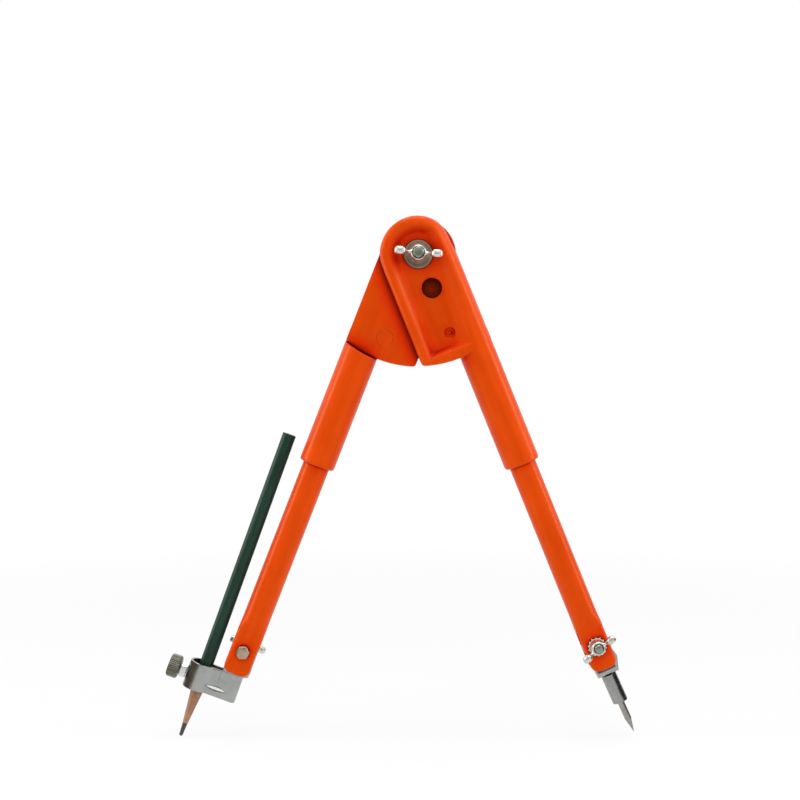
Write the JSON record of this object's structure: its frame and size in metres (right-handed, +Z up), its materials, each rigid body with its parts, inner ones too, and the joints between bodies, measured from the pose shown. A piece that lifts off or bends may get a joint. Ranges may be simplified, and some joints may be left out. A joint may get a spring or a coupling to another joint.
{
  "type": "pencil compass",
  "caption": "Hinged setting-out compass: two moulded legs on a wing-nut pivot, with a swivelling needle point and a swivelling pencil clamp.",
  "frame": {"origin": "centre of the main pivot, on its axis, in the plane where the two legs meet", "axes": "+Z up, +X towards the needle leg, +Y to the back, so the wing nut of the main pivot faces -Y"},
  "size_m": [0.26, 0.0339, 0.288],
  "materials": {
    "orange_moulding": "semi-gloss orange moulded plastic",
    "bright_zinc": "bright zinc plated steel",
    "satin_sheet": "satin nickel plated steel",
    "needle_steel": "ground steel",
    "knob_brass": "knurled, dull olive grey plating",
    "pencil_wood": "dark green lacquer over cedar",
    "graphite": "graphite"
  },
  "bodies": {
    "needle_leg_body": {"needle_leg": "orange_moulding", "needle_leg_rod": "orange_moulding", "needle_swivel_bolt": "bright_zinc", "pivot_flat_washer": "bright_zinc"},
    "pencil_leg_body": {"pencil_leg": "orange_moulding", "pencil_leg_rod": "orange_moulding", "pivot_bolt": "bright_zinc", "pencil_swivel_bolt": "bright_zinc"},
    "pivot_washer_body": {"pivot_spring_washer": "bright_zinc"},
    "pivot_nut_body": {"pivot_wing_nut": "bright_zinc"},
    "needle_washer_body": {"needle_swivel_washer": "bright_zinc"},
    "needle_nut_body": {"needle_swivel_wing_nut": "bright_zinc"},
    "pencil_washer_body": {"pencil_swivel_washer": "bright_zinc"},
    "pencil_nut_body": {"pencil_swivel_wing_nut": "bright_zinc"},
    "needle_holder_body": {"needle_bracket": "satin_sheet", "needle_holder": "satin_sheet", "needle": "needle_steel", "needle_swivel_spacer": "bright_zinc"},
    "pencil_holder_body": {"pencil_clamp_band": "satin_sheet", "clamp_nut": "satin_sheet", "pencil_swivel_spacer": "bright_zinc"},
    "clamp_screw_body": {"clamp_screw": "bright_zinc"},
    "clamp_knob_body": {"clamp_knob": "knob_brass"},
    "pencil_body": {"pencil_casing": "pencil_wood", "pencil_lead": "graphite"}
  },
  "joints": [
    {"name": "main_pivot", "type": "hinge", "parent": "needle_leg_body", "child": "pencil_leg_body", "pos_m": [0, 0, 0], "axis": [0, 1, 0], "range_deg": [-43.3, 136.7]},
    {"name": "pivot_nut_travel", "type": "slide", "parent": "pencil_leg_body", "child": "pivot_washer_body", "axis": [0, -1, 0], "range_m": [0, 0.0018]},
    {"name": "pivot_nut_turn", "type": "hinge", "parent": "pivot_washer_body", "child": "pivot_nut_body", "pos_m": [0, 0, 0], "axis": [0, -1, 0], "range_deg": [0, 630]},
    {"name": "needle_nut_travel", "type": "slide", "parent": "needle_leg_body", "child": "needle_washer_body", "axis": [0, -1, 0], "range_m": [0, 0.00145]},
    {"name": "needle_nut_turn", "type": "hinge", "parent": "needle_washer_body", "child": "needle_nut_body", "pos_m": [0.09837, 0, -0.21598], "axis": [0, -1, 0], "range_deg": [0, 630]},
    {"name": "pencil_nut_travel", "type": "slide", "parent": "pencil_leg_body", "child": "pencil_washer_body", "axis": [0, 1, 0], "range_m": [0, 0.00145]},
    {"name": "pencil_nut_turn", "type": "hinge", "parent": "pencil_washer_body", "child": "pencil_nut_body", "pos_m": [-0.09641, 0, -0.21893], "axis": [0, 1, 0], "range_deg": [0, 630]},
    {"name": "needle_swivel", "type": "hinge", "parent": "needle_leg_body", "child": "needle_holder_body", "pos_m": [0.09837, 0, -0.21598], "axis": [0, 1, 0], "range_deg": [-88, 92]},
    {"name": "pencil_swivel", "type": "hinge", "parent": "pencil_leg_body", "child": "pencil_holder_body", "pos_m": [-0.09641, 0, -0.21893], "axis": [0, -1, 0], "range_deg": [-1.4, 88.6]},
    {"name": "pencil_slide", "type": "slide", "parent": "pencil_holder_body", "child": "pencil_body", "axis": [0.3404, 0, 0.9403], "range_m": [-0.06, 0.025]},
    {"name": "clamp_screw_travel", "type": "slide", "parent": "pencil_holder_body", "child": "clamp_screw_body", "axis": [-0.9403, 0, 0.3404], "range_m": [0, 0.0036]},
    {"name": "clamp_knob_turn", "type": "hinge", "parent": "clamp_screw_body", "child": "clamp_knob_body", "pos_m": [-0.12821, 0, -0.23039], "axis": [-0.9403, 0, 0.3404], "range_deg": [0, 1800]}
  ],
  "couplings": [
    {"joint": "pivot_nut_travel", "follows": "pivot_nut_turn", "m_per_rad": 0.00015915},
    {"joint": "needle_nut_travel", "follows": "needle_nut_turn", "m_per_rad": 0.00012732},
    {"joint": "pencil_nut_travel", "follows": "pencil_nut_turn", "m_per_rad": 0.00012732},
    {"joint": "clamp_screw_travel", "follows": "clamp_knob_turn", "m_per_rad": 0.00011141}
  ]
}
